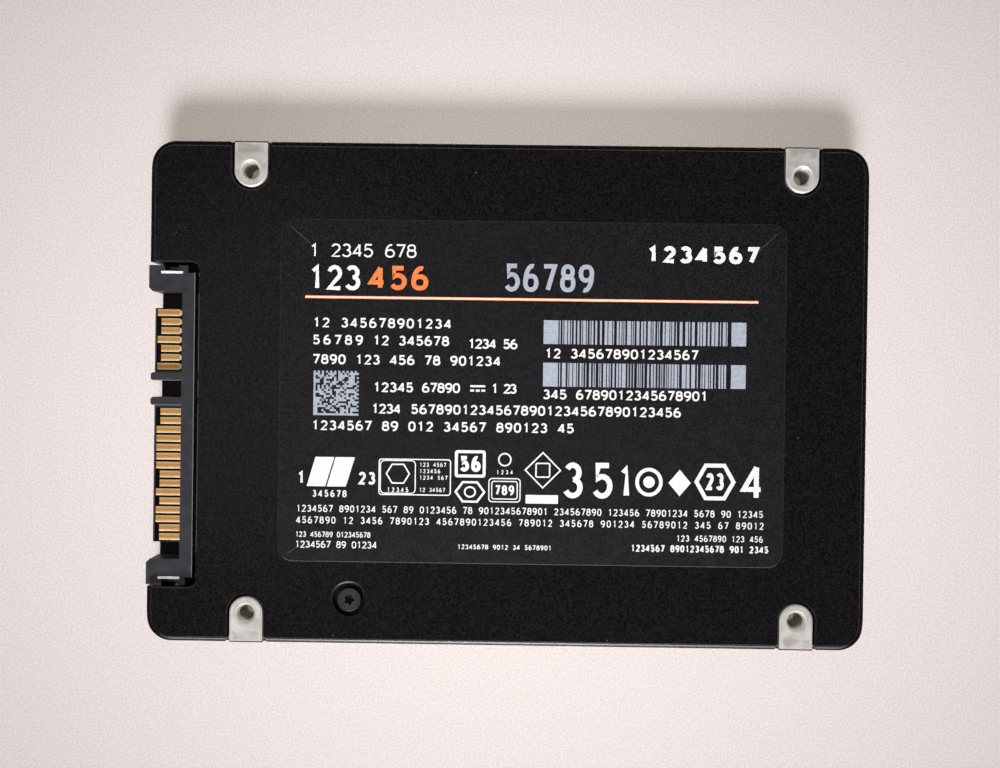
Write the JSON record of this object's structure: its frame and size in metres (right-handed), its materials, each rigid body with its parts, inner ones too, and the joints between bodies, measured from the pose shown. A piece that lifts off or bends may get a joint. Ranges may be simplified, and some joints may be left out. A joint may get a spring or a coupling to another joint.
{
  "type": "solid state drive",
  "caption": "Slim flat 2.5-inch solid state drive: black metal case, printed label, threaded mounting blocks and a two-segment plug connector at one end.",
  "frame": {"origin": "centre of the case's flat base face", "axes": "+X from the connector end to the front end, +Y to the left side seen with the label up, +Z from the base face to the label face"},
  "size_m": [0.1005, 0.0698, 0.0068],
  "materials": {
    "case_black": "black satin coating, fine grain",
    "block_metal": "bare satin, machined edges",
    "label_film": "charcoal printed film",
    "screw_black": "black oxide",
    "board_mask": "green solder mask",
    "connector_plastic": "moulded, dark bluish grey",
    "contact_gold": "gold plated",
    "lock_tin": "tinned",
    "package_black": "moulding compound",
    "pad_grey": "soft thermal pad",
    "inductor_grey": "pressed ferrite",
    "capacitor_tan": "ceramic with tinned ends",
    "resistor_black": "glazed, tinned ends",
    "crystal_lid": "metal lid"
  },
  "bodies": {
    "root": {"base_shell": "case_black", "board_lock_left": "lock_tin", "board_lock_right": "lock_tin", "bulk_capacitors": "capacitor_tan", "cache_memory_chip": "package_black", "chip_resistors": "resistor_black", "circuit_board": "board_mask", "connector_housing": "connector_plastic", "controller_chip": "package_black", "controller_thermal_pad": "pad_grey", "cover_screws": "screw_black", "crystal_oscillator": "crystal_lid", "decoupling_capacitors": "capacitor_tan", "flash_package_left": "package_black", "flash_package_right": "package_black", "label_cover": "case_black", "label_sheet": "label_film", "load_switch_chip": "package_black", "mount_block_front_left": "block_metal", "mount_block_front_right": "block_metal", "mount_block_rear_left": "block_metal", "mount_block_rear_right": "block_metal", "power_contacts": "contact_gold", "power_inductors": "inductor_grey", "power_management_chip": "package_black", "signal_contacts": "contact_gold"}
  },
  "joints": []
}
